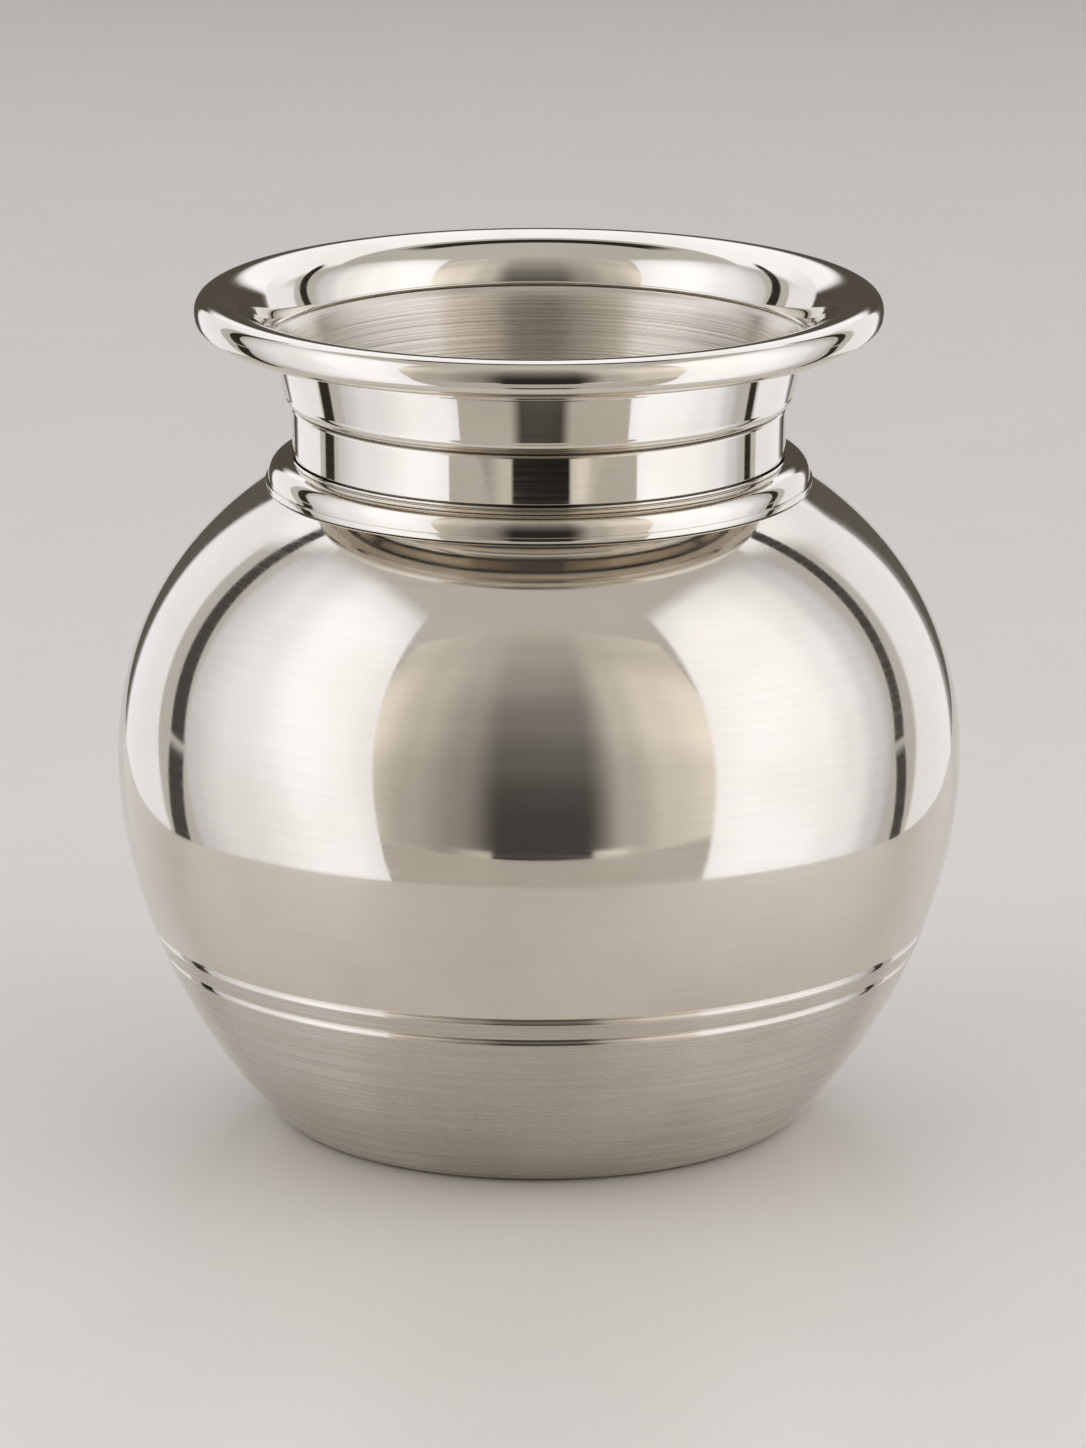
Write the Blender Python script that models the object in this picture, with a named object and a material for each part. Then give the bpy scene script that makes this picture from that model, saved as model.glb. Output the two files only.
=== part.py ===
# Kalash pot: a round-bellied water pot of polished steel, made of spun and turned sheet pieces.
# Metres, +Z up. The origin is the middle of the flat base, and every piece is turned about +Z.

import math

import bmesh
import bpy

MM = 0.001

# Fits
CLEARANCE = 0.3 * MM            # between two pieces that touch
TURN_STEPS = 48                 # flats round each turned piece
CREASE_ANGLE = 32.0             # degrees, sharper edges stay crisp

# Belly: one outline, shared by the lower bowl and the shell above it
BELLY_RADIUS = 70.0 * MM
BELLY_HEIGHT = 60.5 * MM        # the widest place, above the base
CROWN_RISE = 58.3 * MM          # from the widest place to where the outline would close above
CROWN_POWER = 2.14              # 2 is an ellipse, more is fuller
BOWL_DROP = 81.7 * MM           # from the widest place to where the outline would close below
BOWL_POWER = 1.82
BODY_SHEET = 1.2 * MM
BASE_ROUND = 1.6 * MM           # between the flank and the flat base

# Two turned grooves, the upper one over the seam between bowl and shell
SEAM_HEIGHT = 33.4 * MM
GROOVE_SPACING = 3.85 * MM
GROOVE_WIDTH = 1.2 * MM
GROOVE_DEPTH = 0.35 * MM
LAP_LENGTH = 5.0 * MM           # the shell's edge that reaches down inside the bowl
LAP_SHEET = 1.0 * MM
LAP_JOG = 3.0 * MM              # height over which the shell's inside steps in to the lap

# Neck: an inner sleeve with three rings round it
NECK_RADIUS = 40.7 * MM         # outside of the plain lower band
BAND_WALL = 1.2 * MM
SLEEVE_WALL = 0.9 * MM
SLEEVE_TAIL = 3.0 * MM          # below the shell's inside
FLARE_HEIGHT = 14.0 * MM        # the top of the sleeve opens over this height
FLARE_REACH = 6.1 * MM
FLARE_POWER = 3.5
SLEEVE_PROUD = 0.7 * MM         # the sleeve's edge above the upper band

COLLAR_RADIUS = 45.1 * MM
COLLAR_HEIGHT = 1.7 * MM        # its land for the lower band, above the shoulder at the sleeve
COLLAR_LAND = 0.8 * MM
COLLAR_COVE = 0.8 * MM
FOOT_FLANGE_HEIGHT = 1.0 * MM
FOOT_FLANGE_REACH = 0.4 * MM

LOWER_BAND_HEIGHT = 8.1 * MM
LOWER_BAND_ROUND = 0.5 * MM

UPPER_BAND_HEIGHT = 9.5 * MM
UPPER_BAND_RADIUS = 41.95 * MM  # just above its rounded foot
UPPER_BAND_ROUND = 2.9 * MM
UPPER_BAND_FOOT_TURN = 60.0     # degrees of the foot's round that show
UPPER_BAND_STRAIGHT = 2.5 * MM  # tapered stretch above the foot
UPPER_BAND_TAPER = 0.2          # radius gained for each unit of height
UPPER_BAND_FLANGE = 0.8 * MM    # thickness at the top edge
UPPER_BAND_LEDGE = 0.3 * MM     # the top edge past the lip that stands on it

# Flared lip with its edge rolled round a wire
RIM_RADIUS = 56.7 * MM
ROLL_RADIUS = 3.0 * MM
LIP_SHEET = 0.9 * MM
LIP_RISE = 8.3 * MM             # from the lip's foot to the top of the roll
LIP_STRAIGHT = 0.6 * MM
ROLL_END = 165.0                # degrees, where the rolled edge stops short of the flare

# Heights and radii that follow from the sizes above
SLEEVE_RADIUS = NECK_RADIUS - BAND_WALL - CLEARANCE
BORE_RADIUS = SLEEVE_RADIUS - SLEEVE_WALL
RING_BORE = SLEEVE_RADIUS + CLEARANCE
LOWER_GROOVE = SEAM_HEIGHT - GROOVE_SPACING


def outline_point(turn, inset):
    """Point of the belly's outline at a turn of 90 (crown) through 0 (belly) to -90 degrees."""
    if turn >= 0.0:
        reach, power, side = CROWN_RISE - inset, CROWN_POWER, 1.0
    else:
        reach, power, side = BOWL_DROP - inset, BOWL_POWER, -1.0
    across = abs(math.cos(math.radians(turn))) ** (2.0 / power)
    along = abs(math.sin(math.radians(turn))) ** (2.0 / power)
    return ((BELLY_RADIUS - inset) * across, BELLY_HEIGHT + side * reach * along)


def turn_at_height(height, inset):
    """Turn at which the outline passes a height below the belly."""
    share = (BELLY_HEIGHT - height) / (BOWL_DROP - inset)
    return -math.degrees(math.asin(share ** (BOWL_POWER / 2.0)))


def turn_at_radius(radius, inset):
    """Turn at which the outline passes a radius above the belly."""
    share = radius / (BELLY_RADIUS - inset)
    return math.degrees(math.acos(share ** (CROWN_POWER / 2.0)))


def outline_radius(height, inset=0.0):
    return outline_point(turn_at_height(height, inset), inset)[0]


def crown_height(radius, inset=0.0):
    return outline_point(turn_at_radius(radius, inset), inset)[1]


def outline_sweep(start, end, steps, inset):
    """Points of the outline between two turns, both ends included."""
    return [outline_point(start + (end - start) * i / steps, inset) for i in range(steps + 1)]


def ellipse_sweep(centre, reach, start, end, steps):
    """Points of an ellipse with half axes reach, between two angles in degrees."""
    points = []
    for i in range(steps + 1):
        angle = math.radians(start + (end - start) * i / steps)
        points.append((centre[0] + reach[0] * math.cos(angle), centre[1] + reach[1] * math.sin(angle)))
    return points


def rounded_corner(start, corner, end, steps):
    """Points of a smooth bend from start to end that leans towards the corner."""
    points = []
    for i in range(steps + 1):
        t = i / steps
        a, b, c = (1.0 - t) ** 2, 2.0 * t * (1.0 - t), t * t
        points.append((a * start[0] + b * corner[0] + c * end[0], a * start[1] + b * corner[1] + c * end[1]))
    return points


def groove_sweep(middle, start, end, steps):
    """Round-bottomed groove in the bowl's outline, from one share of its half width to another."""
    points = []
    for i in range(steps + 1):
        share = start + (end - start) * i / steps
        height = middle + share * GROOVE_WIDTH / 2.0
        depth = GROOVE_DEPTH * math.sqrt(max(0.0, 1.0 - share * share))
        points.append((outline_radius(height) - depth, height))
    return points


def turned(name, profile, colour, roughness):
    """Makes a named piece by turning a closed profile of (radius, height) points about +Z."""
    mesh = bpy.data.meshes.new(name)
    shape = bmesh.new()
    ring = [shape.verts.new((radius, 0.0, height)) for radius, height in profile]
    edges = [shape.edges.new((ring[i], ring[(i + 1) % len(ring)])) for i in range(len(ring))]
    on_axis = [edge for edge in edges if all(abs(vert.co.x) < 1e-9 for vert in edge.verts)]
    bmesh.ops.delete(shape, geom=on_axis, context="EDGES_FACES")
    shape.edges.ensure_lookup_table()
    bmesh.ops.spin(shape, geom=shape.verts[:] + shape.edges[:], cent=(0.0, 0.0, 0.0), axis=(0.0, 0.0, 1.0),
                   angle=2.0 * math.pi, steps=TURN_STEPS, use_merge=True)
    bmesh.ops.remove_doubles(shape, verts=shape.verts[:], dist=0.001 * MM)
    bmesh.ops.recalc_face_normals(shape, faces=shape.faces[:])
    shape.to_mesh(mesh)
    shape.free()
    mesh.shade_smooth()
    mesh.set_sharp_from_angle(angle=math.radians(CREASE_ANGLE))

    metal = bpy.data.materials.new(name)
    metal.use_nodes = True
    shader = metal.node_tree.nodes["Principled BSDF"]
    shader.inputs["Base Color"].default_value = colour
    shader.inputs["Roughness"].default_value = roughness
    shader.inputs["Metallic"].default_value = 1.0
    mesh.materials.append(metal)

    piece = bpy.data.objects.new(name, mesh)
    bpy.context.collection.objects.link(piece)
    return piece


POLISHED = (0.66, 0.63, 0.58, 1.0)
SATIN = (0.60, 0.57, 0.52, 1.0)


def lower_bowl():
    """Bottom half of the body, from the flat base up to the seam in the upper groove."""
    edge = SEAM_HEIGHT - CLEARANCE / 2.0
    edge_share = (edge - SEAM_HEIGHT) / (GROOVE_WIDTH / 2.0)
    profile = groove_sweep(SEAM_HEIGHT, edge_share, -1.0, 2)
    profile += groove_sweep(LOWER_GROOVE, 1.0, -1.0, 4)
    flank_start = turn_at_height(LOWER_GROOVE - GROOVE_WIDTH / 2.0, 0.0)
    flank_end = turn_at_height(BASE_ROUND, 0.0)
    profile += outline_sweep(flank_start, flank_end, 6, 0.0)[1:]
    corner = outline_radius(0.0)
    profile += rounded_corner(profile[-1], (corner, 0.0), (corner - BASE_ROUND, 0.0), 3)[1:]
    profile += [(0.0, 0.0), (0.0, BODY_SHEET)]
    floor = outline_radius(BODY_SHEET, BODY_SHEET)
    rise = (outline_radius(BODY_SHEET + BASE_ROUND, BODY_SHEET), BODY_SHEET + BASE_ROUND)
    profile += rounded_corner((floor - BASE_ROUND, BODY_SHEET), (floor, BODY_SHEET), rise, 2)
    lap_end = SEAM_HEIGHT - LAP_LENGTH
    inside_start = turn_at_height(rise[1], BODY_SHEET)
    inside_end = turn_at_height(lap_end, BODY_SHEET)
    profile += outline_sweep(inside_start, inside_end, 5, BODY_SHEET)[1:]
    profile.append((outline_radius(edge, BODY_SHEET), edge))
    return turned("lower_bowl", profile, SATIN, 0.22)


def belly_shell():
    """Upper body, from the neck's hole over the belly to the seam, with a lap inside the bowl."""
    edge = SEAM_HEIGHT + CLEARANCE / 2.0
    edge_share = (edge - SEAM_HEIGHT) / (GROOVE_WIDTH / 2.0)
    groove_top = SEAM_HEIGHT + GROOVE_WIDTH / 2.0
    profile = outline_sweep(turn_at_radius(RING_BORE, 0.0), 0.0, 9, 0.0)
    profile += outline_sweep(0.0, turn_at_height(groove_top, 0.0), 5, 0.0)[1:]
    profile += groove_sweep(SEAM_HEIGHT, 1.0, edge_share, 2)[1:]
    lap_face = BODY_SHEET + CLEARANCE
    lap_back = lap_face + LAP_SHEET
    lap_end = SEAM_HEIGHT - LAP_LENGTH
    profile.append((outline_radius(edge, lap_face), edge))
    profile.append((outline_radius(lap_end, lap_face), lap_end))
    profile.append((outline_radius(lap_end, lap_back), lap_end))
    profile.append((outline_radius(SEAM_HEIGHT, lap_back), SEAM_HEIGHT))
    profile += outline_sweep(turn_at_height(SEAM_HEIGHT + LAP_JOG, BODY_SHEET), 0.0, 4, BODY_SHEET)
    profile += outline_sweep(0.0, turn_at_radius(RING_BORE, BODY_SHEET), 8, BODY_SHEET)[1:]
    return turned("belly_shell", profile, POLISHED, 0.08)


def neck_heights():
    """Heights of the stack of rings, worked out from the shoulder that the collar stands on."""
    collar_foot = crown_height(COLLAR_RADIUS) + CLEARANCE
    collar_top = crown_height(RING_BORE) + CLEARANCE + COLLAR_HEIGHT
    lower_foot = collar_top + CLEARANCE
    lower_top = lower_foot + LOWER_BAND_HEIGHT
    upper_foot = lower_top + CLEARANCE
    upper_top = upper_foot + UPPER_BAND_HEIGHT
    return collar_foot, collar_top, lower_foot, lower_top, upper_foot, upper_top


def sleeve_point(height, offset):
    """Point on the sleeve's bore at a height, moved outwards by offset square to the surface."""
    top = neck_heights()[-1] + SLEEVE_PROUD
    share = max(0.0, 1.0 - (top - height) / FLARE_HEIGHT)
    slope = FLARE_POWER * FLARE_REACH / FLARE_HEIGHT * share ** (FLARE_POWER - 1.0)
    length = math.hypot(1.0, slope)
    radius = BORE_RADIUS + FLARE_REACH * share ** FLARE_POWER
    return (radius + offset / length, height - offset * slope / length)


def sleeve_sweep(offset, steps, top=None):
    """Points up the flared stretch of the sleeve, at an offset from its bore."""
    end = neck_heights()[-1] + SLEEVE_PROUD
    start = end - FLARE_HEIGHT
    points = [sleeve_point(start + (end - start) * i / steps, offset) for i in range(steps + 1)]
    return [point for point in points if top is None or point[1] < top]


def neck_sleeve():
    """Brushed tube that lines the neck, open at both ends and flared at the top."""
    tail = crown_height(RING_BORE, BODY_SHEET) - SLEEVE_TAIL
    outside = sleeve_sweep(SLEEVE_WALL, 7)
    inside = sleeve_sweep(0.0, 7)
    profile = outside[::-1] + [(SLEEVE_RADIUS, tail), (BORE_RADIUS, tail)] + inside
    return turned("neck_sleeve", profile, SATIN, 0.30)


def neck_collar():
    """Quarter-round ring that covers the joint between shoulder and neck."""
    foot, top = neck_heights()[:2]
    round_foot = foot + FOOT_FLANGE_HEIGHT
    round_reach = COLLAR_RADIUS - FOOT_FLANGE_REACH
    third = (round_reach - RING_BORE) / 3.0
    land = RING_BORE + min(COLLAR_LAND, third)
    cove = min(COLLAR_COVE, third)
    inner = land + cove
    profile = [(RING_BORE, top)]
    profile += rounded_corner((land, top), (land, top - cove), (inner, top - cove), 2)
    rise = top - cove - round_foot
    profile += ellipse_sweep((inner, round_foot), (round_reach - inner, rise), 90.0, 0.0, 5)[1:]
    profile += [(COLLAR_RADIUS, round_foot), (COLLAR_RADIUS, foot)]
    for i in range(1, 4):
        radius = COLLAR_RADIUS + (RING_BORE - COLLAR_RADIUS) * i / 3
        profile.append((radius, crown_height(radius) + CLEARANCE))
    return turned("neck_collar", profile, POLISHED, 0.07)


def neck_lower_band():
    """Plain band round the sleeve, standing on the collar's land."""
    foot, top = neck_heights()[2:4]
    edge = LOWER_BAND_ROUND
    middle = NECK_RADIUS - edge
    profile = [(RING_BORE, top)]
    profile += ellipse_sweep((middle, top - edge), (edge, edge), 90.0, 0.0, 2)
    profile += ellipse_sweep((middle, foot + edge), (edge, edge), 0.0, -90.0, 2)
    profile.append((RING_BORE, foot))
    return turned("neck_lower_band", profile, POLISHED, 0.07)


def lip_bore():
    """Radius of the hole in the lip, which the sleeve's flared edge sits inside."""
    top = neck_heights()[-1] + SLEEVE_PROUD
    return sleeve_point(top, SLEEVE_WALL)[0] + CLEARANCE


def neck_upper_band():
    """Cup-shaped band: a rounded foot, a slight taper and a flange under the lip."""
    foot, top = neck_heights()[4:6]
    turn = math.radians(UPPER_BAND_FOOT_TURN)
    knee = foot + UPPER_BAND_ROUND * math.sin(turn)
    shoulder_radius = UPPER_BAND_RADIUS + UPPER_BAND_TAPER * UPPER_BAND_STRAIGHT
    shoulder = knee + UPPER_BAND_STRAIGHT
    flange = lip_bore() + LIP_SHEET + UPPER_BAND_LEDGE
    underside = top - UPPER_BAND_FLANGE
    reach = (flange - shoulder_radius, underside - shoulder)
    profile = [(flange, top)]
    profile += ellipse_sweep((flange, shoulder), (-reach[0], reach[1]), 90.0, 0.0, 4)
    middle = UPPER_BAND_RADIUS - UPPER_BAND_ROUND
    profile += ellipse_sweep((middle, knee), (UPPER_BAND_ROUND, UPPER_BAND_ROUND), 0.0, -UPPER_BAND_FOOT_TURN, 4)
    profile.append((RING_BORE, foot))
    inside = sleeve_sweep(SLEEVE_WALL + CLEARANCE, 7, top)
    profile += [point for point in inside if point[1] > foot]
    profile.append((lip_bore(), top))
    return turned("neck_upper_band", profile, POLISHED, 0.07)


def roll_middle():
    """Middle of the rolled edge, as a radius and a height."""
    foot = neck_heights()[-1] + CLEARANCE
    return (RIM_RADIUS - ROLL_RADIUS, foot + LIP_RISE - ROLL_RADIUS)


def flared_lip():
    """Lip that opens like a trumpet and rolls outwards and under at its edge."""
    foot = neck_heights()[-1] + CLEARANCE
    bore = lip_bore()
    middle = roll_middle()
    spring = (middle[0], foot + LIP_STRAIGHT)
    reach = (middle[0] - bore, LIP_RISE - LIP_STRAIGHT)
    back = (reach[0] - LIP_SHEET, reach[1] - LIP_SHEET)
    hollow = ROLL_RADIUS - LIP_SHEET
    profile = [(bore, foot)]
    profile += ellipse_sweep(spring, (-reach[0], reach[1]), 0.0, 90.0, 6)
    profile += ellipse_sweep(middle, (ROLL_RADIUS, ROLL_RADIUS), 90.0, ROLL_END - 360.0, 11)[1:]
    profile += ellipse_sweep(middle, (hollow, hollow), ROLL_END - 360.0, 90.0, 8)
    profile += ellipse_sweep(spring, (-back[0], back[1]), 90.0, 0.0, 5)[1:]
    profile.append((bore + LIP_SHEET, foot))
    return turned("flared_lip", profile, POLISHED, 0.06)


def rim_wire():
    """Wire inside the rolled edge, which keeps the rim round and stiff."""
    radius = ROLL_RADIUS - LIP_SHEET - CLEARANCE
    profile = ellipse_sweep(roll_middle(), (radius, radius), 90.0, -225.0, 7)
    return turned("rim_wire", profile, SATIN, 0.35)


def main():
    for item in list(bpy.data.objects):
        bpy.data.objects.remove(item, do_unlink=True)
    lower_bowl()
    belly_shell()
    neck_sleeve()
    neck_collar()
    neck_lower_band()
    neck_upper_band()
    flared_lip()
    rim_wire()


main()
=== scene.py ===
# Kalash pot: the finish, the light and the camera of a polished steel water pot.
# Metres, +Z up. Every piece is turned about +Z, and the pot stands on z = 0.

import math

import bpy
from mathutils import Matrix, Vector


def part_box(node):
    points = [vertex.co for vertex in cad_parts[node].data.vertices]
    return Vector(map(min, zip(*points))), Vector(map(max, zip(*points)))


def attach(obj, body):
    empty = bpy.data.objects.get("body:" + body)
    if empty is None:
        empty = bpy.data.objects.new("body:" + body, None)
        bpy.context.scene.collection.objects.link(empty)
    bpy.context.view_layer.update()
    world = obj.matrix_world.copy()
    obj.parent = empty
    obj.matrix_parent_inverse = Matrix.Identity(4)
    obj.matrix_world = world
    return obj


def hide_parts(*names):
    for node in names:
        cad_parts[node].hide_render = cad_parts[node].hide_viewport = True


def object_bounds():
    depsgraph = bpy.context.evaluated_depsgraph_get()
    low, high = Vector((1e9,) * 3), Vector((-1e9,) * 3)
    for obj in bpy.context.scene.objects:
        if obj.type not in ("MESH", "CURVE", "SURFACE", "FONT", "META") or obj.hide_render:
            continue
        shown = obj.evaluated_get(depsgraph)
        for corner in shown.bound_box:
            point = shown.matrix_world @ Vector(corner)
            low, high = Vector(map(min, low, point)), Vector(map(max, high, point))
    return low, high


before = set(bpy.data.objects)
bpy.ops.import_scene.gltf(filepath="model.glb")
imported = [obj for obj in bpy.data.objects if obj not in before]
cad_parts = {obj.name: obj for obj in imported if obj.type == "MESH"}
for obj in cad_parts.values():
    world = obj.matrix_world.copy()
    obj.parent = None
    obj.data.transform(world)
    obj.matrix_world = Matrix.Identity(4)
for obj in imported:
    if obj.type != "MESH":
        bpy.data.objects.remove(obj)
cadLow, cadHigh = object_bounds()
mm = 0.001
print("frame loaded:", len(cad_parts), "pieces")


# Shapes

turning = {
    "steps": 192,          # round each piece, fine enough for a mirror finish
    "creaseAngle": 34.0,   # degrees, sharper edges stay crisp
    "merge": 0.004 * mm,   # points closer than this are one
    "longRun": 1.8 * mm,   # a longer straight run gets a point close to each end
    "hold": 0.05 * mm,     # this close, so that smooth shading doesn't bend its reflection
}


def arc(centre, reach, start, end, steps):
    # points of an ellipse with half axes reach, between two angles in degrees
    points = []
    for i in range(steps + 1):
        angle = math.radians(start + (end - start) * i / steps)
        points.append((centre[0] + reach[0] * math.cos(angle), centre[1] + reach[1] * math.sin(angle)))
    return points


def squared(centre, reach, start, end, power, steps):
    # like arc, but with flatter sides and a fuller corner where power is above 2
    points = []
    for x, y in arc((0, 0), (1, 1), start, end, steps):
        shape = [math.copysign(abs(part) ** (2 / power), part) for part in (x, y)]
        points.append((centre[0] + reach[0] * shape[0], centre[1] + reach[1] * shape[1]))
    return points


def bend(start, corner, end, steps):
    # smooth corner from start to end
    points = []
    for i in range(steps + 1):
        t = i / steps
        weights = ((1 - t) ** 2, 2 * t * (1 - t), t * t)
        points.append(tuple(sum(weight * point[axis] for weight, point in zip(weights, (start, corner, end)))
                            for axis in (0, 1)))
    return points


def between(a, b, share):
    return (a[0] + (b[0] - a[0]) * share, a[1] + (b[1] - a[1]) * share)


def tidyOutline(outline):
    # drops points that fall on the one before, and holds the ends of long straight runs
    kept = []
    for point in outline:
        if not kept or math.dist(point, kept[-1]) > turning["merge"]:
            kept.append(point)
    if math.dist(kept[0], kept[-1]) < turning["merge"]:
        kept.pop()
    held = []
    for a, b in zip(kept, kept[1:] + kept[:1]):
        held.append(a)
        length = math.dist(a, b)
        if length > turning["longRun"]:
            share = turning["hold"] / length
            held += [between(a, b, share), between(a, b, 1 - share)]
    return held


def turn(name, outline, material):
    # turns a closed outline of (radius, height) points into a piece that stands for its CAD node
    # the UV map holds the share of the turn, and the metres walked along the outline
    outline = tidyOutline(outline)
    area = sum(a[0] * b[1] - b[0] * a[1] for a, b in zip(outline, outline[1:] + outline[:1]))
    if area < 0:
        outline.reverse()
    steps = turning["steps"]
    verts, rings = [], []
    for radius, height in outline:
        if radius < 1e-7:      # on the axis, where the whole ring is one point
            rings.append([len(verts)] * steps)
            verts.append((0, 0, height))
        else:
            rings.append(list(range(len(verts), len(verts) + steps)))
            for i in range(steps):
                angle = 2 * math.pi * i / steps
                verts.append((radius * math.cos(angle), radius * math.sin(angle), height))
    walked = [0.0]
    for a, b in zip(outline, outline[1:] + outline[:1]):
        walked.append(walked[-1] + math.dist(a, b))
    faces, places = [], []
    for j, ring in enumerate(rings):
        following = rings[(j + 1) % len(rings)]
        if ring[0] == ring[1] and following[0] == following[1]:
            continue
        for i in range(steps):
            k = (i + 1) % steps
            corners = [(ring[i], i, walked[j]), (ring[k], i + 1, walked[j]),
                       (following[k], i + 1, walked[j + 1]), (following[i], i, walked[j + 1])]
            if corners[0][0] == corners[1][0]:
                corners.pop(1)
            elif corners[2][0] == corners[3][0]:
                corners.pop(2)
            faces.append([corner[0] for corner in corners])
            places += [(corner[1] / steps, corner[2]) for corner in corners]
    mesh = bpy.data.meshes.new(name)
    mesh.from_pydata(verts, [], faces)
    uv = mesh.uv_layers.new(name="UVMap")
    uv.data.foreach_set("uv", [value for place in places for value in place])
    mesh.update()
    mesh.shade_smooth()
    mesh.set_sharp_from_angle(angle=math.radians(turning["creaseAngle"]))
    mesh.materials.append(material)
    piece = bpy.data.objects.new(name + "_turned", mesh)
    bpy.context.scene.collection.objects.link(piece)
    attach(piece, "root")
    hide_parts(name)
    print("turned", name, len(mesh.polygons), "faces")
    return piece


# The body's outline, shared by bowl and shell: a super-ellipse above the belly and another below it
body = {
    "radius": cadHigh.x, "belly": 60.5 * mm,
    "rise": 58.3 * mm, "crownPower": 2.14, "drop": 81.7 * mm, "bowlPower": 1.82,
    "sheet": 1.2 * mm, "gap": 0.3 * mm,     # of the wall, and between joined pieces
    "seam": 33.4 * mm,          # height of the upper groove, which hides the seam
    "grooveStep": 3.85 * mm,    # from there down to the lower groove
    # a groove's upper edge and deepest place above its middle, and its lower edge below it
    "grooveTop": 0.60 * mm, "grooveFloor": 0.15 * mm, "grooveFoot": 0.62 * mm,
    "grooveDepth": 0.62 * mm, "grooveBow": 0.35,
}


def bodyRadius(height, inset=0.0):
    above = height >= body["belly"]
    reach = (body["rise"] if above else body["drop"]) - inset
    power = body["crownPower"] if above else body["bowlPower"]
    share = abs(height - body["belly"]) / reach
    return (body["radius"] - inset) * (1 - share ** power) ** (1 / power)


def crownHeight(radius, inset=0.0):
    share = (radius / (body["radius"] - inset)) ** body["crownPower"]
    return body["belly"] + (body["rise"] - inset) * (1 - share) ** (1 / body["crownPower"])


def bodySweep(start, end, inset, steps):
    # wall points between two heights
    heights = [start + (end - start) * (i / steps) for i in range(steps + 1)]
    return [(bodyRadius(height, inset), height) for height in heights]


def crownSweep(start, end, inset, steps):
    # shoulder points between two radii
    radii = [start + (end - start) * i / steps for i in range(steps + 1)]
    return [(radius, crownHeight(radius, inset)) for radius in radii]


def groove(middle, low, high):
    # turned groove between two heights: a short wall faces down, a long one faces up and catches the light
    upper = middle + body["grooveTop"]
    deep = middle + body["grooveFloor"]
    lower = middle - body["grooveFoot"]
    points = [(bodyRadius(upper), upper)]
    steps = 16
    for i in range(steps + 1):
        t = i / steps
        height = deep + (lower - deep) * t
        depth = body["grooveDepth"] * (1 - t) * (1 - body["grooveBow"] * t)
        points.append((bodyRadius(height) - depth, height))
    inside = [point for point in points if low <= point[1] <= high]
    for height in (low, high):
        for a, b in zip(points, points[1:]):
            if b[1] < height < a[1]:
                share = (height - b[1]) / (a[1] - b[1])
                inside.append((b[0] + (a[0] - b[0]) * share, height))
    return sorted(inside, key=lambda point: -point[1])


# Materials

def hexColour(code):
    # sRGB hex to the linear colour that Blender works in
    parts = [int(code[i:i + 2], 16) / 255 for i in (1, 3, 5)]
    return [c / 12.92 if c <= 0.04045 else ((c + 0.055) / 1.055) ** 2.4 for c in parts] + [1.0]


def addNode(tree, kind, sockets=(), stops=(), **settings):
    # adds a node; sockets holds what goes in, in order or by name: a value, an output, or a node, whose
    # first output in use feeds it; stops holds a ramp's (place, level) pairs, from place 0 to place 1
    made = tree.nodes.new("ShaderNode" + kind)
    for key, value in settings.items():
        setattr(made, key, value)
    for key, value in sockets.items() if isinstance(sockets, dict) else enumerate(sockets):
        if isinstance(value, bpy.types.Node):
            value = next(output for output in value.outputs if output.enabled)
        if isinstance(value, bpy.types.NodeSocket):
            tree.links.new(value, made.inputs[key])
        else:
            made.inputs[key].default_value = value
    for i, (place, level) in enumerate(stops):
        made.color_ramp.interpolation = "EASE"
        points = made.color_ramp.elements
        ends = {0: points[0], len(stops) - 1: points[len(points) - 1]}
        point = ends[i] if i in ends else points.new(place)
        point.color = (level, level, level, 1)
    return made


def newMaterial(name):
    material = bpy.data.materials.new(name)
    material.use_nodes = True
    material.node_tree.nodes.clear()
    return material, material.node_tree


noiseRange = (0.35, 0.65)                       # a noise lies mostly between these
smooth = {"interpolation_type": "SMOOTHSTEP"}   # a MapRange that eases in and out, held at both ends


def turnedLines(tree, spacing, streak, slant=0.0):
    # noise drawn out into lines that run round the pot, spacing apart and streak long, in metres
    place = addNode(tree, "SeparateXYZ", [addNode(tree, "TexCoord").outputs["Object"]])
    along = addNode(tree, "SeparateXYZ", [addNode(tree, "UVMap")]).outputs["Y"]
    if slant:
        along = addNode(tree, "Math", (place.outputs["X"], slant, along), operation="MULTIPLY_ADD")
    acrossX = addNode(tree, "Math", (place.outputs["X"], 1 / streak), operation="MULTIPLY")
    acrossY = addNode(tree, "Math", (place.outputs["Y"], 1 / streak), operation="MULTIPLY")
    fine = addNode(tree, "Math", (along, 1 / spacing), operation="MULTIPLY")
    joined = addNode(tree, "CombineXYZ", (acrossX, acrossY, fine))
    return addNode(tree, "TexNoise", {"Vector": joined, "Scale": 1.0, "Detail": 3.0, "Roughness": 0.35})


def cloud(tree, size, detail=2.0):
    # soft patches about size across, in metres
    place = addNode(tree, "TexCoord").outputs["Object"]
    return addNode(tree, "TexNoise", {"Vector": place, "Scale": 1 / size, "Detail": detail})


def brightCuts(tree, heights, reach):
    # 1 within reach of the given heights, 0 elsewhere
    place = addNode(tree, "SeparateXYZ", [addNode(tree, "TexCoord").outputs["Object"]])
    total = 0.0
    for middle in heights:
        away = addNode(tree, "Math", (place.outputs["Z"], middle), operation="SUBTRACT")
        away = addNode(tree, "Math", [away], operation="ABSOLUTE")
        near = addNode(tree, "MapRange", (away, reach * 0.9, reach * 1.1, 1.0, 0.0), **smooth)
        total = addNode(tree, "Math", (total, near), operation="ADD")
    return total


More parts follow.
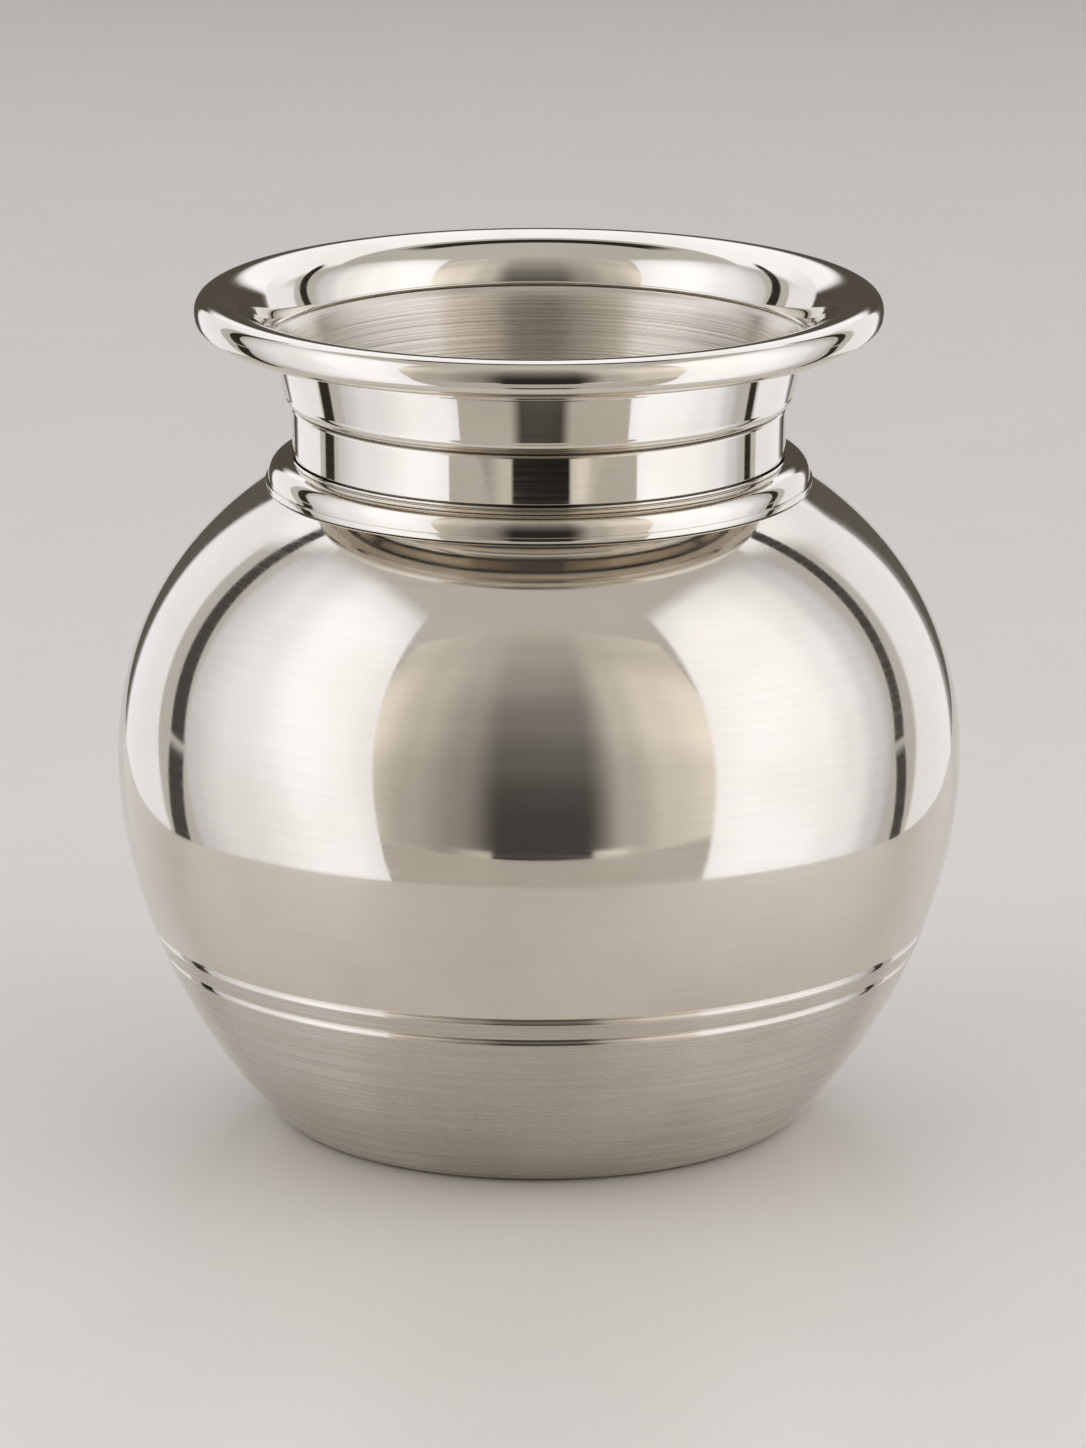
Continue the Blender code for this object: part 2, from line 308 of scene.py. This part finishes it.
def innerFace(tree):
    # 1 on faces that look towards the middle of the pot, 0 on those that look away from it
    middle = (0, 0, 60 * mm)
    blur = 1 * mm
    seen = addNode(tree, "TexCoord")
    outward = addNode(tree, "VectorMath", (seen.outputs["Object"], middle), operation="SUBTRACT")
    facing = addNode(tree, "VectorMath", (outward, seen.outputs["Normal"]), operation="DOT_PRODUCT")
    return addNode(tree, "MapRange", (facing, -blur, blur, 1.0, 0.0), **smooth)


# A second set of lines crosses the first at a slight slant, this many times as far apart and as long
swirlScale = {"spacing": 2.2, "streak": 0.5}


def steel(name, look):
    # Stainless steel of the 200 and 300 grades. What is left of the work on its surface decides the look:
    # lines from the spinning lathe and the polishing wheel run round the pot, and smear a reflection
    # up and down but hardly sideways.
    material, tree = newMaterial(name)
    lines = turnedLines(tree, look["lineSpacing"], look["streak"])
    swirl = turnedLines(tree, look["lineSpacing"] * swirlScale["spacing"],
                        look["streak"] * swirlScale["streak"], slant=look["slant"])
    wear = cloud(tree, look["patch"])
    patches = addNode(tree, "MapRange", (wear, *noiseRange, 0.0, 1.0), **smooth)
    tone = addNode(tree, "Mix", {"Factor": patches, "A": hexColour(look["dark"]),
                                 "B": hexColour(look["light"])}, data_type="RGBA")
    grain = addNode(tree, "Math", (lines, swirl), operation="ADD")
    grainRange = [2 * end for end in noiseRange]        # as it is a sum of two noises
    shade = addNode(tree, "MapRange",
                    (grain, *grainRange, 1 - look["lineTone"], 1 + look["lineTone"]), **smooth)
    colour = addNode(tree, "VectorMath", {0: tone, "Scale": shade}, operation="SCALE")
    lineRough = addNode(tree, "MapRange",
                        (lines, *noiseRange, -look["roughSpread"], look["roughSpread"]), **smooth)
    wearRough = addNode(tree, "MapRange",
                        (wear, *noiseRange, -look["wearSpread"], look["wearSpread"]), **smooth)
    rough = addNode(tree, "Math", (lineRough, wearRough), operation="ADD")
    rough = addNode(tree, "Math", (rough, look["roughness"]), operation="ADD")
    if "cuts" in look:
        # grooves cut after the finish was rubbed in stay bright
        bright = brightCuts(tree, look["cuts"], look["cutReach"])
        rough = addNode(tree, "Mix", {"Factor": bright, "A": rough, "B": look["cutRoughness"]})
    if "insideShadeColour" in look:
        # the inside is left rougher, as it came off the lathe; its darker colour is painted shade for the
        # dim inside of the pot
        inside = innerFace(tree)
        rough = addNode(tree, "Mix", {"Factor": inside, "A": rough, "B": look["insideRoughness"]})
        colour = addNode(tree, "Mix", {"Factor": inside, "A": colour, "B": hexColour(look["insideShadeColour"])},
                         data_type="RGBA")
    ridges = addNode(tree, "Bump", {"Height": lines, "Strength": 1.0, "Distance": look["lineDepth"]})
    upAndDown = addNode(tree, "Tangent", direction_type="RADIAL", axis="Z")
    shader = addNode(tree, "BsdfPrincipled", {"Base Color": colour, "Metallic": 1 - look.get("haze", 0.0),
                                              "Roughness": rough, "Normal": ridges,
                                              "Anisotropic": look["smear"], "Anisotropic Rotation": 0.25,
                                              "Tangent": upAndDown})
    addNode(tree, "OutputMaterial", {"Surface": shader})
    return material


# Mirror-polished on a felt wheel after turning: rings and lip give an almost clear reflection
mirrorSteel = steel("mirror_polished_stainless_steel", {
    "dark": "#D9D2C7", "light": "#DFD9CF", "roughness": 0.04, "roughSpread": 0.015, "wearSpread": 0.01,
    "smear": 0.2, "lineTone": 0.012, "lineSpacing": 0.5 * mm, "streak": 24 * mm, "lineDepth": 0.0002 * mm,
    "slant": 0.01, "patch": 20 * mm})

# Polished on a softer wheel after spinning: the belly's reflection keeps a faint haze and grain; inside
# it is left dull from the lathe, and its colour is darkened with painted shade
polishedSteel = steel("polished_stainless_steel", {
    "dark": "#D7D0C5", "light": "#DDD7CD", "roughness": 0.06, "roughSpread": 0.02, "wearSpread": 0.01,
    "smear": 0.3, "lineTone": 0.014, "lineSpacing": 0.5 * mm, "streak": 26 * mm, "lineDepth": 0.0003 * mm,
    "slant": 0.012, "patch": 26 * mm, "haze": 0.07, "insideShadeColour": "#8E8980", "insideRoughness": 0.45})

# Spun, then rubbed with a fine abrasive pad: fine lines that still show, and a reflection that is drawn
# out up and down; the two grooves were cut last and stay bright. Lines are drawn coarser than the real
# ones of 0.05 mm, so that they can be seen
# inside it is rougher, and its colour is darkened with painted shade
satinSteel = steel("satin_stainless_steel", {
    "dark": "#CCC5BA", "light": "#D5CEC4", "roughness": 0.28, "roughSpread": 0.05, "wearSpread": 0.02,
    "smear": 1.0, "lineTone": 0.04, "lineSpacing": 0.36 * mm, "streak": 60 * mm, "lineDepth": 0.05 * mm,
    "slant": 0.006, "patch": 30 * mm,
    "cuts": (body["seam"], body["seam"] - body["grooveStep"]), "cutReach": body["grooveFoot"],
    "cutRoughness": 0.07, "insideShadeColour": "#8E8980", "insideRoughness": 0.45})

# Brushed with a coarser wheel inside the neck: clear lines of uneven depth, drawn coarser than real
brushedSteel = steel("brushed_stainless_steel", {
    "dark": "#D5CCBF", "light": "#DED6CA", "roughness": 0.30, "roughSpread": 0.05, "wearSpread": 0.03,
    "smear": 1.0, "lineTone": 0.08, "lineSpacing": 0.36 * mm, "streak": 60 * mm, "lineDepth": 0.10 * mm,
    "slant": 0.006, "patch": 16 * mm})

# Cold-drawn wire: dull, with the die's lines along it
drawnWire = steel("drawn_steel_wire", {
    "dark": "#A9A59F", "light": "#B8B4AD", "roughness": 0.38, "roughSpread": 0.06, "wearSpread": 0.03,
    "smear": 0.4, "lineTone": 0.05, "lineSpacing": 0.4 * mm, "streak": 30 * mm, "lineDepth": 0.004 * mm,
    "slant": 0.0, "patch": 10 * mm})
print("steels made")


# The body: a satin bowl and a polished shell, joined in the upper groove

def lowerBowl():
    size = {"baseRound": 1.6 * mm}
    edge = body["seam"] - body["gap"] / 2
    lower = body["seam"] - body["grooveStep"]
    outline = groove(body["seam"], 0, edge)
    outline += bodySweep(outline[-1][1], lower + body["grooveTop"], 0, 6)[1:-1]
    outline += groove(lower, 0, edge)
    outline += bodySweep(outline[-1][1], size["baseRound"], 0, 60)[1:]
    corner = bodyRadius(0)
    outline += bend(outline[-1], (corner, 0), (corner - size["baseRound"], 0), 12)[1:]
    outline += [(0, 0), (0, body["sheet"])]
    rise = body["sheet"] + size["baseRound"]
    inner = bodyRadius(body["sheet"], body["sheet"])
    outline += bend((inner - size["baseRound"], body["sheet"]), (inner, body["sheet"]),
                    (bodyRadius(rise, body["sheet"]), rise), 10)
    outline += bodySweep(rise, edge, body["sheet"], 50)[1:]
    return turn("lower_bowl", outline, satinSteel)


def bellyShell():
    size = {
        "hole": 39.5 * mm, "lap": 5.0 * mm, "lapSheet": 1.0 * mm, "jog": 3.0 * mm,
        "seamGap": 0.02 * mm,       # to the bowl's edge: almost shut, as a brazed seam looks
        "shoulder": 40 * mm,        # above the belly, where the outline starts to be stepped by radius
    }
    edge = body["seam"] - body["gap"] / 2 + size["seamGap"]
    high = body["belly"] + size["shoulder"]
    outline = crownSweep(size["hole"], bodyRadius(high), 0, 30)
    outline += bodySweep(high, body["belly"], 0, 50)[1:]
    outline += bodySweep(body["belly"], body["seam"] + body["grooveTop"], 0, 40)[1:-1]
    outline += groove(body["seam"], edge, body["belly"])
    lapFace = body["sheet"] + body["gap"]
    lapBack = lapFace + size["lapSheet"]
    lapEnd = body["seam"] - size["lap"]
    outline += bodySweep(edge, lapEnd, lapFace, 4)
    outline += bodySweep(lapEnd, body["seam"], lapBack, 4)
    outline += bodySweep(body["seam"] + size["jog"], body["belly"], body["sheet"], 30)
    outline += bodySweep(body["belly"], high, body["sheet"], 40)[1:]
    outline += crownSweep(bodyRadius(high, body["sheet"]), size["hole"], body["sheet"], 24)[1:]
    return turn("belly_shell", outline, polishedSteel)


# The neck: a sleeve, and three rings and a lip round it
sleeve = {
    "bore": 38.3 * mm,
    "wall": 0.7 * mm, "edgeWall": 0.22 * mm,      # the sheet is drawn thinner towards the edge
    "flareHeight": 14.0 * mm, "coneReach": 4.2 * mm, "flareReach": 1.3 * mm, "flarePower": 18,
    "drop": 0.1 * mm,       # the edge ends this far below the top of the piece's box
    "edgeRise": 0.1 * mm,   # and is rounded up to this
    "ringBore": 39.5 * mm,  # of the rings that sit on it
}

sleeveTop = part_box("neck_sleeve")[1]


def flareShare(height):
    return max(0, 1 - (sleeveTop.z - height) / sleeve["flareHeight"])


def sleevePoint(height, offset):
    # a slight cone over the flare's height, and a short flare at its top
    share = flareShare(height)
    power = sleeve["flarePower"]
    radius = sleeve["bore"] + sleeve["coneReach"] * share + sleeve["flareReach"] * share ** power
    slope = power * sleeve["flareReach"] / sleeve["flareHeight"] * share ** (power - 1)
    slope += sleeve["coneReach"] / sleeve["flareHeight"] if share > 0 else 0
    length = math.hypot(1, slope)
    return (radius + offset / length, height - offset * slope / length)


def sleeveWall(height):
    return sleeve["wall"] + (sleeve["edgeWall"] - sleeve["wall"]) * flareShare(height)


def neckSleeve():
    low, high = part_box("neck_sleeve")
    start = high.z - sleeve["flareHeight"]
    reach = sleeve["flareHeight"] - sleeve["drop"]
    steps = 40
    heights = [start + reach * i / steps for i in range(steps + 1)]
    outside = [sleevePoint(height, sleeveWall(height)) for height in reversed(heights)]
    inside = [sleevePoint(height, 0) for height in heights]
    ridge = ((inside[-1][0] + outside[0][0]) / 2, heights[-1] + sleeve["edgeRise"])
    edge = bend(inside[-1], ridge, outside[0], 6)[1:-1]
    tail = [(sleeve["bore"] + sleeve["wall"], low.z), (sleeve["bore"], low.z)]
    return turn("neck_sleeve", outside + tail + inside + edge, brushedSteel)


def neckCollar():
    size = {"land": 1.25 * mm, "cove": 0.35 * mm, "fullness": 2.4,
            "flange": 1.0 * mm, "flangeReach": 0.4 * mm, "break": 0.15 * mm}
    low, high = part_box("neck_collar")
    land = sleeve["ringBore"] + size["land"]
    step = high.z - size["cove"]
    foot = low.z + size["flange"]
    reach = high.x - size["flangeReach"]
    inner = land + size["cove"]
    outline = [(sleeve["ringBore"], high.z)]
    outline += bend((land, high.z), (land, step), (inner, step), 10)
    outline += squared((inner, foot), (reach - inner, step - foot), 90, 0, size["fullness"], 40)[1:]
    soft = size["break"]
    outline += bend((high.x - soft, foot), (high.x, foot), (high.x, foot - soft), 4)
    outline += bend((high.x, low.z + soft), (high.x, low.z), (high.x - soft, low.z), 4)
    steps = 12
    for i in range(1, steps + 1):
        radius = high.x + (sleeve["ringBore"] - high.x) * i / steps
        outline.append((radius, crownHeight(radius) + body["gap"]))
    return turn("neck_collar", outline, mirrorSteel)


def neckLowerBand():
    size = {"topRound": 0.45 * mm, "footRound": 0.15 * mm, "taper": 0.08 * mm, "boreTaper": 2.6 * mm,
            "lean": 1.0}    # degrees, where both roundings meet the tapered wall
    low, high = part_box("neck_lower_band")
    top, foot = size["topRound"], size["footRound"]
    outline = [(high.x - top - turning["hold"], high.z)]
    outline += arc((high.x - top, high.z - top), (top, top), 90, -size["lean"], 14)
    outline += arc((high.x - size["taper"] - foot, low.z + foot), (foot, foot), -size["lean"], -90, 6)
    outline.append((sleeve["ringBore"], low.z))
    outline.append((sleeve["ringBore"], high.z - size["boreTaper"]))
    return turn("neck_lower_band", outline, mirrorSteel)


def neckUpperBand():
    size = {
        "radius": 42.1 * mm, "taper": 0.2,      # the wall leans out by this share of its height
        "round": 2.2 * mm, "footTurn": 76.0, "footFlat": 0.1 * mm,
        "flange": 0.2 * mm, "flangeReach": 0.45 * mm, "break": 0.05 * mm,
        "sleeveGap": 0.2 * mm, "topGap": 0.1 * mm,
        "beyond": 1.0 * mm,     # the sleeve leans out, so it is followed to a little above the top
    }
    low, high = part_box("neck_upper_band")
    knee = low.z + size["round"] * math.sin(math.radians(size["footTurn"]))
    underside = high.z - size["flange"]
    top = size["radius"] + size["taper"] * (underside - knee)
    flange = top + size["flangeReach"]
    soft = size["break"]
    outline = [(flange - soft, high.z), (flange, high.z - soft), (flange, underside), (top, underside)]
    outline += arc((size["radius"] - size["round"], knee), (size["round"], size["round"]),
                   0, -size["footTurn"], 20)
    outline.append((outline[-1][0] - size["footFlat"], low.z))
    # the inner face keeps to the sleeve, closer to it near the top
    steps = 60
    for i in range(steps + 1):
        height = low.z + (high.z + size["beyond"] - low.z) * i / steps
        gap = size["sleeveGap"] + (size["topGap"] - size["sleeveGap"]) * flareShare(height)
        radius, level = sleevePoint(height, sleeveWall(height) + gap)
        if level > low.z:
            outline.append((radius, min(level, high.z)))
        if level >= high.z:
            break
    return turn("neck_upper_band", outline, mirrorSteel)


lip = {
    "roll": 3.0 * mm, "sheet": 0.9 * mm,
    "rollEnd": 165.0,           # degrees, where the rolled sheet ends inside the roll
    "fullness": 2.3,
    "springDrop": 1.6 * mm,     # the flare's curve would stand upright this far below the lip
    "edgeGap": 0.45 * mm,       # from the sleeve's edge to the bead
    "bead": 0.28 * mm, "beadLift": 0.45 * mm, "beadStart": 240.0, "beadEnd": 35.0,
    "wireGap": 0.3 * mm,
}


def rollMiddle():
    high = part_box("flared_lip")[1]
    return (high.x - lip["roll"], high.z - lip["roll"])


def flaredLip():
    low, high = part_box("flared_lip")
    middle = rollMiddle()
    # a fine bead lies just outside the sleeve's edge, and the flare leans outwards from it
    sleeveEdge = sleevePoint(sleeveTop.z - sleeve["drop"], sleeveWall(sleeveTop.z))
    bead = (sleeveEdge[0] + lip["edgeGap"] + lip["bead"], low.z + lip["beadLift"] + lip["bead"])
    beadArc = arc(bead, (lip["bead"], lip["bead"]), lip["beadStart"], lip["beadEnd"], 16)
    first = beadArc[-1]
    spring = (middle[0], low.z - lip["springDrop"])
    rise = high.z - spring[1]
    faceStart = math.asin((first[1] - spring[1]) / rise)
    reach = ((middle[0] - first[0]) / math.cos(faceStart), rise)
    back = (reach[0] - lip["sheet"], reach[1] - lip["sheet"])
    backStart = math.asin((low.z - spring[1]) / back[1])
    hollow = lip["roll"] - lip["sheet"]
    rollEnd = lip["rollEnd"] - 360
    outline = [(bead[0], low.z)] + beadArc
    outline += arc(spring, (-reach[0], reach[1]), math.degrees(faceStart), 90, 40)[1:]
    outline += squared(middle, (lip["roll"], lip["roll"]), 90, -90, lip["fullness"], 64)[1:]
    outline += arc(middle, (lip["roll"], lip["roll"]), -90, rollEnd, 30)[1:]
    outline += arc(middle, (hollow, hollow), rollEnd, 90, 40)
    outline += arc(spring, (-back[0], back[1]), 90, math.degrees(backStart), 30)[1:]
    return turn("flared_lip", outline, mirrorSteel)


def rimWire():
    radius = lip["roll"] - lip["sheet"] - lip["wireGap"]
    outline = arc(rollMiddle(), (radius, radius), 0, 360, 24)
    return turn("rim_wire", outline, drawnWire)


lowerBowl()
bellyShell()
neckSleeve()
neckCollar()
neckLowerBand()
neckUpperBand()
flaredLip()
rimWire()
print("pot built")


# Studio: a pale table under a soft box on each side and one behind, a grey wall with the dark of the
# camera's place in it, and dark cards that draw the edges of a shiny piece

studio = {
    "world": "#CDCBC8", "box": "#F6F8FF", "sideLevel": 1.52, "behindLevel": 1.35, "edgeLevel": 1.15,
    "card": "#34312D", "backCard": "#57524B",
}


def panel(name, colour, level, across, up, sides):
    # lit or dark panel: its brightness changes across and up, and its edges fade softly where sides
    # gives them a width; its back lets light through
    material, tree = newMaterial(name)
    place = addNode(tree, "SeparateXYZ", [addNode(tree, "UVMap")])
    strength = addNode(tree, "ValToRGB", [place.outputs["X"]], across)
    strength = addNode(tree, "Math", (strength, level), operation="MULTIPLY")
    strengthUp = addNode(tree, "ValToRGB", [place.outputs["Y"]], up)
    strength = addNode(tree, "Math", (strength, strengthUp), operation="MULTIPLY")
    light = addNode(tree, "Emission", {"Color": hexColour(colour), "Strength": strength})
    left, right, bottom, top = sides
    seen = addNode(tree, "ValToRGB", [place.outputs["X"]], ((0, 0), (left, 1), (1 - right, 1), (1, 0)))
    seenUp = addNode(tree, "ValToRGB", [place.outputs["Y"]], ((0, 0), (bottom, 1), (1 - top, 1), (1, 0)))
    seen = addNode(tree, "Math", (seen, seenUp), operation="MULTIPLY")
    back = addNode(tree, "NewGeometry").outputs["Backfacing"]
    front = addNode(tree, "Math", (1.0, back), operation="SUBTRACT")
    seen = addNode(tree, "Math", (seen, front), operation="MULTIPLY")
    both = addNode(tree, "MixShader", (seen, addNode(tree, "BsdfTransparent"), light))
    addNode(tree, "OutputMaterial", {"Surface": both})
    return material


def card(name, corners, material):
    # flat card with its first corner at uv 0, 0; it faces the pot, and the camera looks past it
    mesh = bpy.data.meshes.new(name)
    mesh.from_pydata(corners, [], [(0, 1, 2, 3)])
    if mesh.polygons[0].normal.dot(mesh.polygons[0].center) > 0:
        mesh.clear_geometry()
        mesh.from_pydata(corners, [], [(3, 2, 1, 0)])
        order = ((0, 1), (1, 1), (1, 0), (0, 0))
    else:
        order = ((0, 0), (1, 0), (1, 1), (0, 1))
    uv = mesh.uv_layers.new(name="UVMap")
    for loop, place in zip(uv.data, order):
        loop.uv = place
    mesh.materials.append(material)
    made = bpy.data.objects.new(name, mesh)
    bpy.context.scene.collection.objects.link(made)
    made.visible_camera = False
    return made


# The wall's levels of brightness, and the places in metres between which one fades into the next: heights
# above the table, or distances aside from the middle
wall = {
    "colour": "#FFF9F0", "middle": 0.03, "rampTop": 4.0,
    "grey": ((0, 0.32), (0.12, 0.33), (0.3, 0.42), (0.6, 0.53), (1, 0.58)),
    "core": ((0, 0.03), (0.06, 0.05), (0.16, 0.12), (0.3, 0.21), (0.5, 0.36), (0.7, 0.47), (1, 0.58)),
    "coreAside": (0.32, 0.70),
    # a paler strip just above the low part, with a crisp black middle
    "stripHeight": (-0.31, -0.28), "stripAside": (0.50, 0.90), "stripCoreAside": (0.38, 0.44),
    # the low part is pale, and dark in the middle near the ground
    "lowHeight": (-0.365, -0.355), "lowCoreAside": (0.26, 0.48), "groundHeight": (-1.12, -0.86),
    "plain": {"stripGrey": 0.70, "stripCore": 0.02, "lowGrey": 0.57, "lowCore": 0.54, "groundCore": 0.06},
    # light that the boxes spill on its two sides, less of it higher up
    "spill": ((0, 0.9), (0.2, 0.33), (0.34, 0.0), (0.59, 0.0), (0.7, 0.34), (0.8, 0.70), (1, 1)),
    "spillWidth": 4.0, "spillGain": 2.0,
    "spillFade": (0.8, 3.2), "spillHigh": 0.2, "spillFoot": (-0.375, -0.35),
}


def studioWall():
    # warm grey wall beyond the camera, paler towards its top and towards its sides, with the dark of the
    # camera's place in its middle; it is pale below the height of the table
    material, tree = newMaterial("studio_wall")
    split = addNode(tree, "SeparateXYZ", [addNode(tree, "TexCoord").outputs["Object"]])
    across, height = split.outputs["X"], split.outputs["Z"]
    aside = addNode(tree, "Math", (across, -wall["middle"]), operation="ADD")
    aside = addNode(tree, "Math", [aside], operation="ABSOLUTE")
    rise = addNode(tree, "Math", (height, 1 / wall["rampTop"]), operation="MULTIPLY")
    plain = {key: (level, level, level, 1) for key, level in wall["plain"].items()}
    # each of these is 1 below its height, or near the middle, and 0 above it, or far aside
    strip, lowPart, ground = [addNode(tree, "MapRange", (height, *wall[key], 1.0, 0.0), **smooth)
                              for key in ("stripHeight", "lowHeight", "groundHeight")]
    stripNear, coreNear, stripCoreNear, lowCoreNear = [
        addNode(tree, "MapRange", (aside, *wall[key], 1.0, 0.0), **smooth)
        for key in ("stripAside", "coreAside", "stripCoreAside", "lowCoreAside")]
    stripShare = addNode(tree, "Math", (strip, stripNear), operation="MULTIPLY")
    grey = addNode(tree, "ValToRGB", [rise], wall["grey"])
    grey = addNode(tree, "Mix", {"Factor": stripShare, "A": grey, "B": plain["stripGrey"]}, data_type="RGBA")
    grey = addNode(tree, "Mix", {"Factor": lowPart, "A": grey, "B": plain["lowGrey"]}, data_type="RGBA")
    core = addNode(tree, "ValToRGB", [rise], wall["core"])
    core = addNode(tree, "Mix", {"Factor": strip, "A": core, "B": plain["stripCore"]}, data_type="RGBA")
    lowCore = addNode(tree, "Mix", {"Factor": ground, "A": plain["lowCore"], "B": plain["groundCore"]},
                      data_type="RGBA")
    core = addNode(tree, "Mix", {"Factor": lowPart, "A": core, "B": lowCore}, data_type="RGBA")
    dark = addNode(tree, "Mix", {"Factor": strip, "A": coreNear, "B": stripCoreNear})
    dark = addNode(tree, "Mix", {"Factor": lowPart, "A": dark, "B": lowCoreNear})
    tone = addNode(tree, "Mix", {"Factor": dark, "A": grey, "B": core}, data_type="RGBA")
    place = addNode(tree, "Math", (across, 1 / wall["spillWidth"], 0.5), operation="MULTIPLY_ADD")
    spill = addNode(tree, "ValToRGB", [place], wall["spill"])       # its middle is at x = 0
    fade = addNode(tree, "MapRange", (height, *wall["spillFade"], 1.0, wall["spillHigh"]), **smooth)
    spill = addNode(tree, "Math", (spill, fade), operation="MULTIPLY")
    foot = addNode(tree, "MapRange", (height, *wall["spillFoot"], 0.0, 1.0), **smooth)
    spill = addNode(tree, "Math", (spill, foot), operation="MULTIPLY")
    gain = addNode(tree, "Math", (spill, wall["spillGain"], 1.0), operation="MULTIPLY_ADD")
    level = addNode(tree, "Math", (tone, gain), operation="MULTIPLY")
    light = addNode(tree, "Emission", {"Color": hexColour(wall["colour"]), "Strength": level})
    addNode(tree, "OutputMaterial", {"Surface": light})
    return material


def table():
    # white laminate with a satin face: pale and plain, with a very faint mottle; its front end is rounded
    size = {"end": 0.205, "back": 1.40, "thickness": 30 * mm,
            "top": -0.2 * mm}       # a little under the pot's foot, so that the two faces don't meet
    look = {"colour": "#F0ECE5", "mottleColour": "#CFCAC2", "mottle": 0.04, "mottleSize": 40 * mm,
            "mottleDetail": 4.0, "roughness": 0.35}
    end, back, top = size["end"], size["back"], size["top"]
    rim = [(end, back), (-end, back)] + arc((0, 0), (end, end), 180, 360, 64)
    verts = [(x, y, top) for x, y in rim] + [(x, y, top - size["thickness"]) for x, y in rim]
    count = len(rim)
    faces = [tuple(range(count)), tuple(reversed(range(count, 2 * count)))]
    faces += [(i, i + count, (i + 1) % count + count, (i + 1) % count) for i in range(count)]
    mesh = bpy.data.meshes.new("table")
    mesh.from_pydata(verts, [], faces)
    material, tree = newMaterial("white_laminate")
    mottle = cloud(tree, look["mottleSize"], look["mottleDetail"])
    mottle = addNode(tree, "MapRange", (mottle, *noiseRange, 0.0, look["mottle"]), **smooth)
    tone = addNode(tree, "Mix", {"Factor": mottle, "A": hexColour(look["colour"]),
                                 "B": hexColour(look["mottleColour"])}, data_type="RGBA")
    shader = addNode(tree, "BsdfPrincipled", {"Base Color": tone, "Roughness": look["roughness"]})
    addNode(tree, "OutputMaterial", {"Surface": shader})
    mesh.materials.append(material)
    made = bpy.data.objects.new("table", mesh)
    bpy.context.scene.collection.objects.link(made)
    return made


table()

even = ((0, 1), (1, 1))
boxUp = ((0, 0.85), (0.5, 0.95), (0.7, 1), (0.85, 1), (1, 0.75))
# corners: inner bottom, outer bottom, outer top, inner top; each side box leans over the pot
card("box_left",
     [(-1.093, -1.451, -1.30), (-1.58, 0.17, -1.30), (-0.80, 0.67, 1.19), (-0.493, -0.293, 1.24)],
     panel("soft_box_left", studio["box"], studio["sideLevel"],
           ((0, 0.88), (0.2, 0.98), (0.4, 1), (0.7, 0.8), (1, 0.55)), boxUp, (0.01, 0.05, 0.01, 0.06)))
card("box_right",
     [(1.211, -1.344, -1.30), (1.58, 0.20, -1.30), (0.78, 0.59, 1.11), (0.478, -0.316, 1.24)],
     panel("soft_box_right", studio["box"], studio["sideLevel"],
           ((0, 0.95), (0.15, 1.02), (0.35, 1), (0.6, 0.85), (0.8, 0.62), (1, 0.45)), boxUp,
           (0.02, 0.10, 0.01, 0.06)))
card("box_behind", [(-1.5, 2.03, 0.74), (1.5, 2.03, 0.74), (1.5, 0.92, 1.96), (-1.5, 0.92, 1.96)],
     panel("soft_box_behind", studio["box"], studio["behindLevel"], even, even, (0.1, 0.1, 0.05, 0.05)))

flag = panel("dark_card", studio["card"], 1.0, even, even, (0.15, 0.15, 0.01, 0.05))
flagUpper = panel("dark_card_upper", studio["card"], 1.0, even, even, (0.15, 0.15, 0.01, 0.1))
flagBack = panel("grey_card_behind", studio["backCard"], 1.0, even, even, (0.15, 0.15, 0.01, 0.1))
card("flag_left", [(-1.28, 0.428, -1.3), (-1.197, 0.623, -1.3), (-1.197, 0.623, 0), (-1.28, 0.428, 0)], flag)
card("flag_left_upper",
     [(-1.28, 0.428, 0), (-1.197, 0.623, 0), (-0.847, 1.124, 1.56), (-0.978, 1.028, 1.56)], flagUpper)
card("flag_right", [(1.273, 0.451, -1.3), (1.218, 0.581, -1.3), (1.218, 0.581, 0), (1.273, 0.451, 0)], flag)
card("flag_right_upper",
     [(1.273, 0.451, 0), (1.218, 0.581, 0), (0.887, 1.094, 1.56), (1.006, 0.978, 1.56)], flagUpper)
card("flag_behind",
     [(-0.90, 1.45, -1.3), (0.90, 1.45, -1.3), (0.90, 1.45, 0.72), (-0.90, 1.45, 0.72)], flagBack)
card("flag_above", [(-0.5, 0.30, 1.4), (0.5, 0.30, 1.4), (0.5, 0.55, 1.4), (-0.5, 0.55, 1.4)], flag)

edgeLight = panel("edge_light", studio["box"], studio["edgeLevel"], even, even, (0.08, 0.1, 0.02, 0.3))
card("edge_left",
     [(-1.24, 0.62, -0.5), (-0.66, 1.18, -0.5), (-0.45, 1.27, 1.1), (-0.88, 1.06, 1.1)], edgeLight)
card("edge_right",
     [(1.26, 0.58, -0.5), (0.70, 1.16, -0.5), (0.55, 1.22, 1.1), (0.97, 0.96, 1.1)], edgeLight)
card("wall", [(-2.2, -1.75, -1.9), (2.2, -1.75, -1.9), (2.2, -1.75, 4.0), (-2.2, -1.75, 4.0)], studioWall())

world = bpy.data.worlds.new("studio")
world.use_nodes = True
world.node_tree.nodes["Background"].inputs["Color"].default_value = hexColour(studio["world"])
bpy.context.scene.world = world
print("studio built")


# Camera: a long lens, a little above the pot

view = {
    "place": (0.66 * mm, -1250.7 * mm, 395.8 * mm), "pitch": 14.79,
    "focalPixels": 7779, "imageHeight": 1448, "sensor": 36, "near": 0.01, "far": 50,
}

lens = bpy.data.cameras.new("camera")
lens.sensor_width = view["sensor"]
lens.lens = view["focalPixels"] / view["imageHeight"] * view["sensor"]
lens.clip_start = view["near"]
lens.clip_end = view["far"]
camera = bpy.data.objects.new("camera", lens)
camera.location = view["place"]
camera.rotation_euler = (math.radians(90 - view["pitch"]), 0, 0)
bpy.context.scene.collection.objects.link(camera)
bpy.context.scene.camera = camera
bpy.context.scene.view_settings.view_transform = "Standard"
print("camera set")
